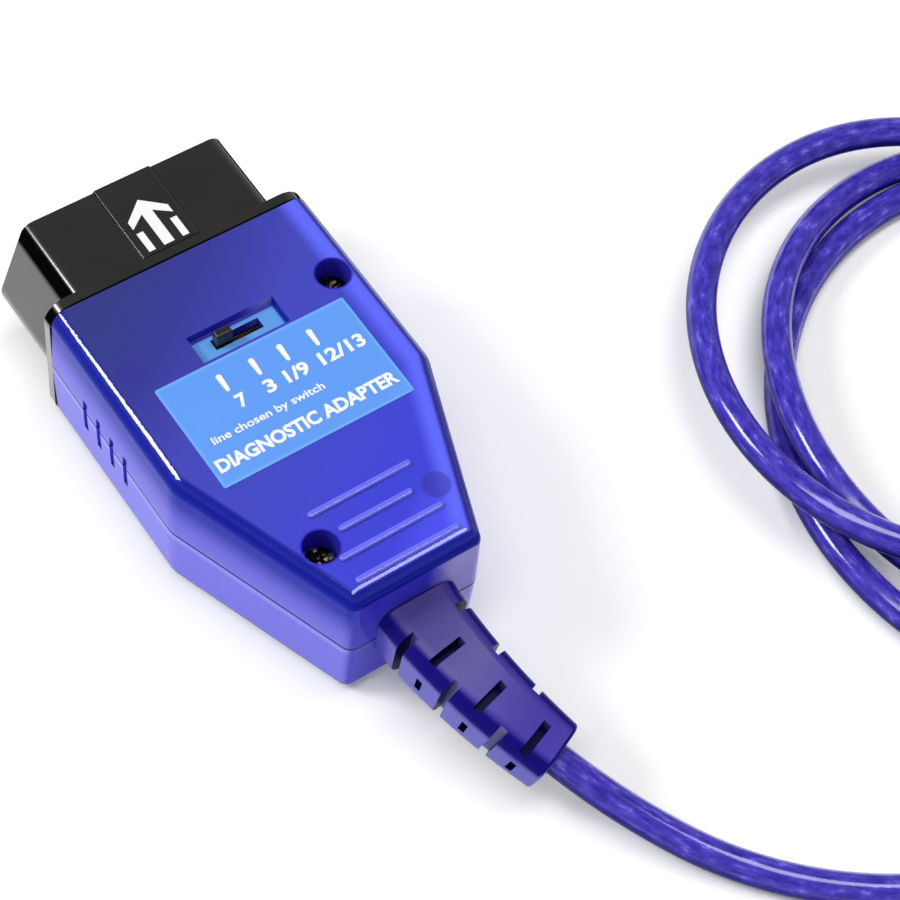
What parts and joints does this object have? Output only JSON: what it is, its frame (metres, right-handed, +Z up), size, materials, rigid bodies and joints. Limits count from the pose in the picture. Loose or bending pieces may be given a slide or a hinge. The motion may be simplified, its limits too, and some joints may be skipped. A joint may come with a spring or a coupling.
{
  "type": "diagnostic plug adapter with usb lead",
  "caption": "Hand-sized two-shell adapter: D-shaped sixteen-pin vehicle plug in front, slide switch on top, moulded strain relief and a loosely coiled USB lead behind.",
  "frame": {"origin": "on the underside, at the middle of the case and plug together; the lead and its strain relief are left out of that middle", "axes": "+Y is the way the sixteen-pin plug goes in, +X is to its right seen from above, +Z is up from the underside to the labelled face"},
  "size_m": [0.1946, 0.145, 0.0249],
  "materials": {
    "case_blue": "gloss translucent blue",
    "plug_black": "gloss black",
    "pin_metal": "bright plated",
    "screw_steel": "dark passivated",
    "board_green": "satin solder mask",
    "chip_black": "matte",
    "part_tan": "matte ceramic",
    "can_aluminium": "satin",
    "switch_steel": "bright plated",
    "switch_insulator": "laminate",
    "knob_black": "satin",
    "contact_brass": "bright",
    "label_blue": "satin printed vinyl",
    "relief_blue": "satin translucent blue",
    "cable_blue": "gloss translucent blue over a braided screen",
    "wire_red": "satin",
    "wire_white": "satin",
    "wire_green": "satin",
    "wire_black": "satin",
    "usb_steel": "bright plated",
    "usb_insert_white": "satin"
  },
  "bodies": {
    "reader": {"upper_shell": "case_blue", "lower_shell": "case_blue", "case_screws": "screw_steel", "plug_housing": "plug_black", "upper_row_pins": "pin_metal", "lower_row_pins": "pin_metal", "circuit_board": "board_green", "usb_serial_chip": "chip_black", "comparator_chip": "chip_black", "quartz_crystal": "can_aluminium", "electrolytic_capacitor": "can_aluminium", "chip_resistors": "chip_black", "chip_capacitors": "part_tan", "transistors": "chip_black", "diodes": "chip_black", "switch_frame": "switch_steel", "switch_base": "switch_insulator", "switch_terminals": "contact_brass", "main_label": "label_blue", "slot_sticker": "label_blue", "strain_relief": "relief_blue", "red_wire": "wire_red", "white_wire": "wire_white", "green_wire": "wire_green", "black_wire": "wire_black", "cable_lead": "cable_blue", "cable_coil": "cable_blue", "cable_tail": "cable_blue", "usb_plug_overmould": "relief_blue", "usb_plug_shell": "usb_steel", "usb_plug_insert": "usb_insert_white", "usb_plug_contacts": "contact_brass"},
    "switch_knob": {"switch_slider": "knob_black", "switch_wiper": "contact_brass"}
  },
  "joints": [
    {"name": "switch_slide", "type": "slide", "parent": "reader", "child": "switch_knob", "axis": [1, 0, 0], "range_m": [0, 0.0045]}
  ]
}
